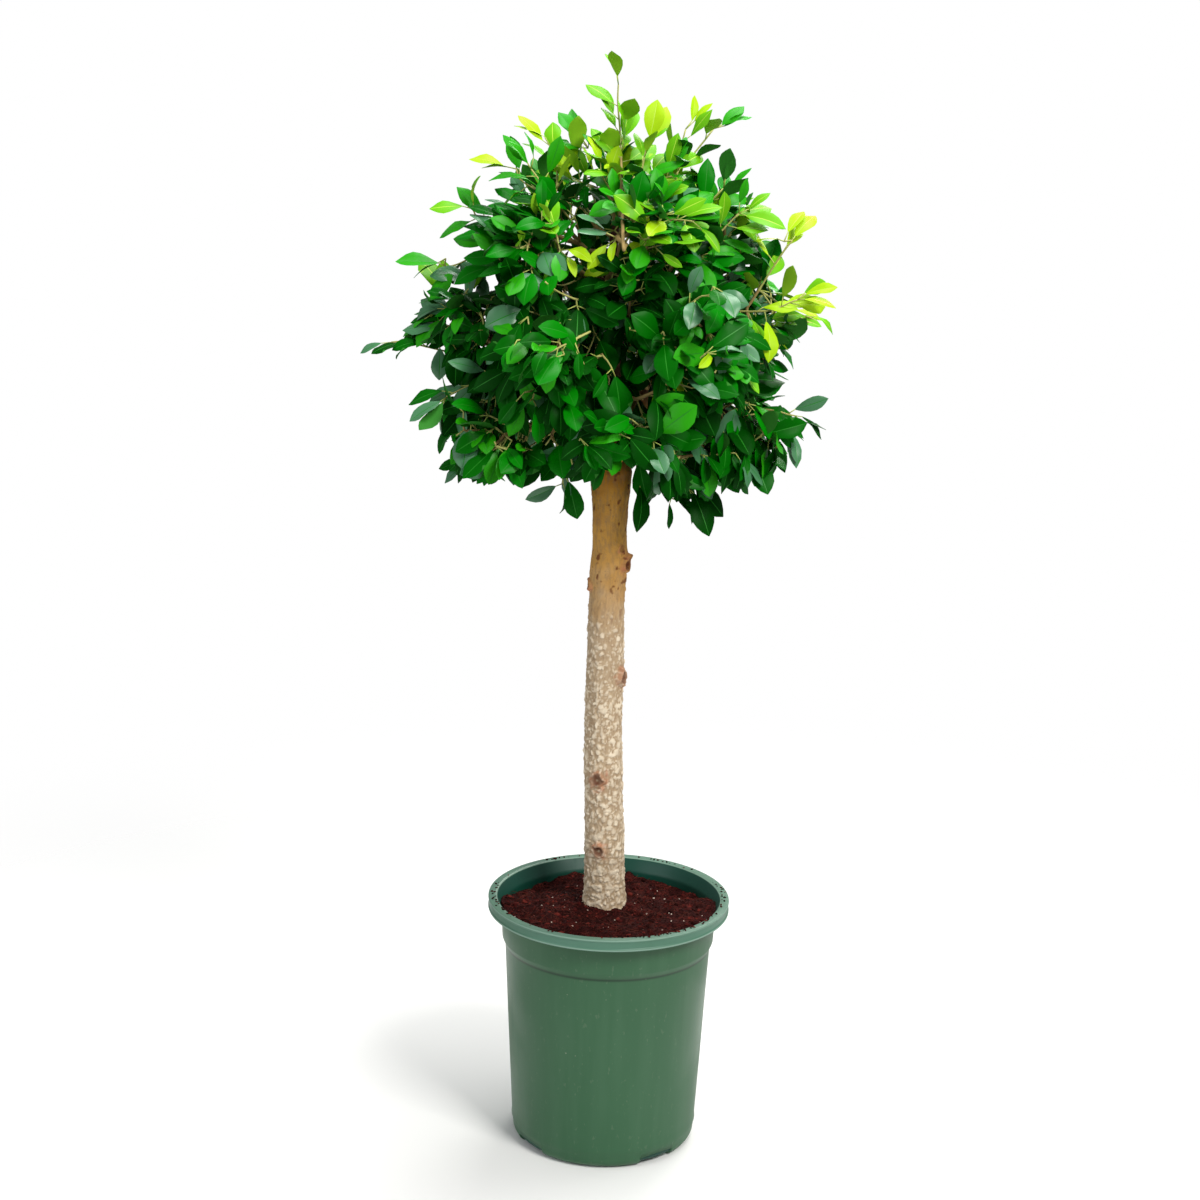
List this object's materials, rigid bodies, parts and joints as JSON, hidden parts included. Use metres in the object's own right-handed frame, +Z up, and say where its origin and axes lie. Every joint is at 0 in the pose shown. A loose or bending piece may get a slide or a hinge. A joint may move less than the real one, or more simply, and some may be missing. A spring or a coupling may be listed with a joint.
{
  "type": "potted fig standard",
  "caption": "Small-leaved fig grown as a standard: a loose ball of glossy green leaves on a bare pale stem, in a tapered green plastic nursery pot of dark potting mix.",
  "frame": {"origin": "centre of the pot's flat underside, on the floor", "axes": "+Z up along the stem; -Y is the front; +X is to the right seen from the front"},
  "size_m": [0.5596, 0.5014, 1.3475],
  "materials": {
    "pot_plastic": "moulded mid-green plastic with a soft sheen, faintly scuffed",
    "potting_mix": "moist red-brown peat and coco fibre with pale perlite",
    "bark": "pale grey-beige bark with cream flecks, golden towards the fork",
    "foliage": "glossy leaves, deep green with lime young tips"
  },
  "bodies": {
    "root": {"pot": "pot_plastic", "potting_soil": "potting_mix", "trunk": "bark", "foliage_low_1": "foliage", "foliage_low_2": "foliage", "foliage_low_3": "foliage", "foliage_low_4": "foliage", "foliage_low_5": "foliage", "foliage_low_6": "foliage", "foliage_mid_1": "foliage", "foliage_mid_2": "foliage", "foliage_mid_3": "foliage", "foliage_mid_4": "foliage", "foliage_mid_5": "foliage", "foliage_mid_6": "foliage", "foliage_high_1": "foliage", "foliage_high_2": "foliage", "foliage_high_3": "foliage", "foliage_high_4": "foliage", "foliage_high_5": "foliage", "foliage_crest": "foliage", "bough_left": "bark", "bough_right": "bark", "bough_leader": "bark", "bough_back": "bark", "bough_front": "bark", "bough_low_front": "bark", "bough_low_back": "bark", "bough_high_right": "bark", "shoot_leader": "foliage", "shoot_top_right_inner": "foliage", "shoot_top_right_outer": "foliage", "shoot_top_left_inner": "foliage", "shoot_top_left_outer": "foliage", "shoot_shoulder_left": "foliage", "shoot_shoulder_right": "foliage", "shoot_upper_left": "foliage", "shoot_side_left": "foliage", "shoot_long_left": "foliage", "shoot_side_right": "foliage", "shoot_low_right": "foliage", "shoot_hanging_right": "foliage", "shoot_hanging_left": "foliage", "shoot_front_left": "foliage", "shoot_front_right": "foliage", "shoot_back_left": "foliage", "shoot_back_right": "foliage", "shoot_back_high": "foliage"}
  },
  "joints": []
}
